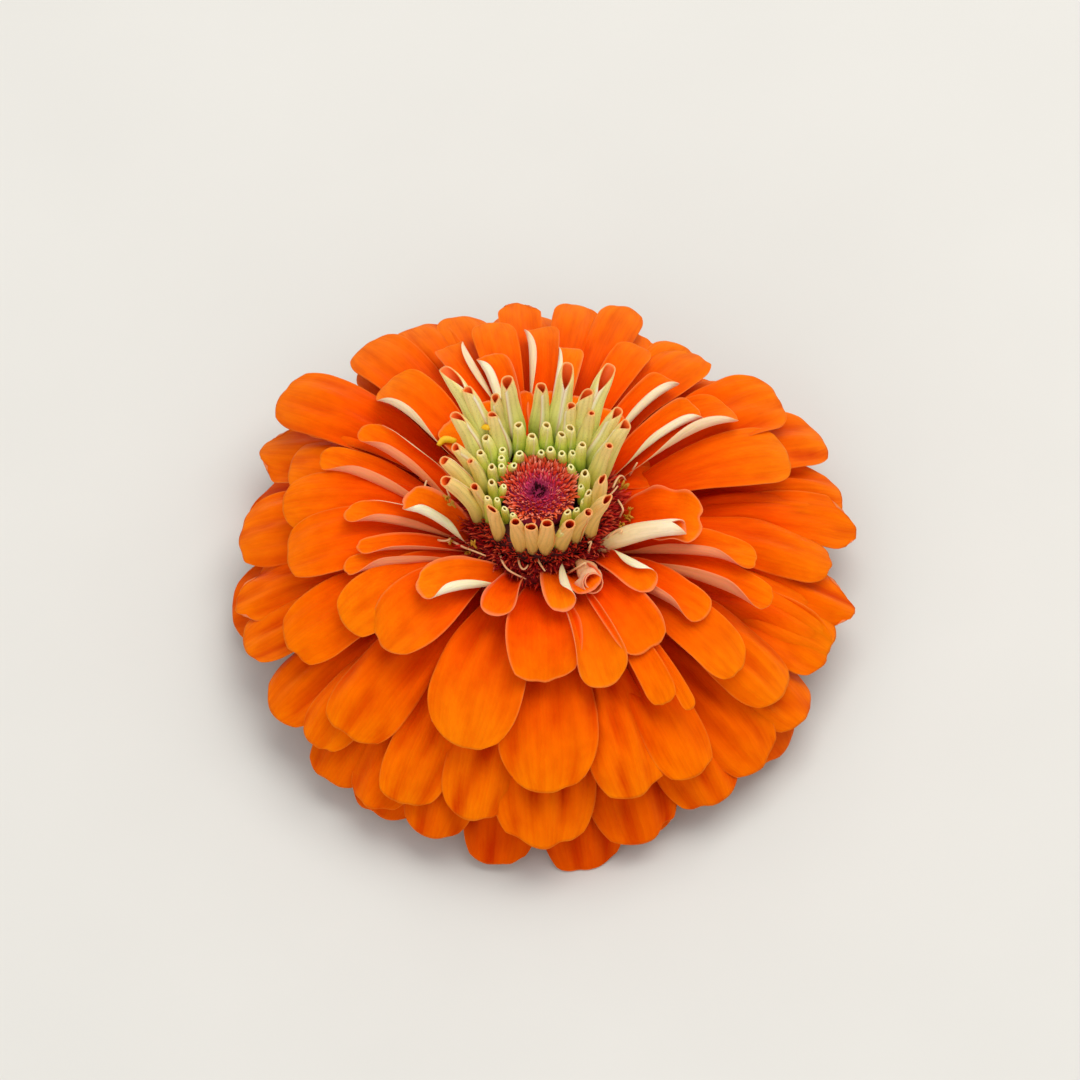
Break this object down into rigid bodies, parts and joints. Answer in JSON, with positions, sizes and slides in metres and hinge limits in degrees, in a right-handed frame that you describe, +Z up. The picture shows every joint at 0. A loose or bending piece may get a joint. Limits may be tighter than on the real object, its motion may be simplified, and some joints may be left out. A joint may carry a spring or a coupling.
{
  "type": "zinnia flower",
  "caption": "Double zinnia bloom, picked under its head and set face up: layers of orange ray petals, rolled cream young petals round a red disc, and a green cup below.",
  "frame": {"origin": "on the surface that the bloom rests on, under the middle of its outline seen from above", "axes": "+Z up, out of the face of the bloom; -Y towards the viewer of the picture; +X to the picture's right"},
  "size_m": [0.0946, 0.0928, 0.0476],
  "materials": {
    "petal_orange": "satin",
    "quill_cream": "satin",
    "disc_red": "satin",
    "chaff_red": "matte",
    "receptacle_pale": "matte",
    "involucre_green": "matte",
    "stem_green": "matte"
  },
  "bodies": {
    "root": {"ray_petals": "petal_orange", "young_petals": "quill_cream", "disc": "disc_red", "chaff_ring": "chaff_red", "receptacle": "receptacle_pale", "involucre": "involucre_green", "stem": "stem_green"}
  },
  "joints": []
}
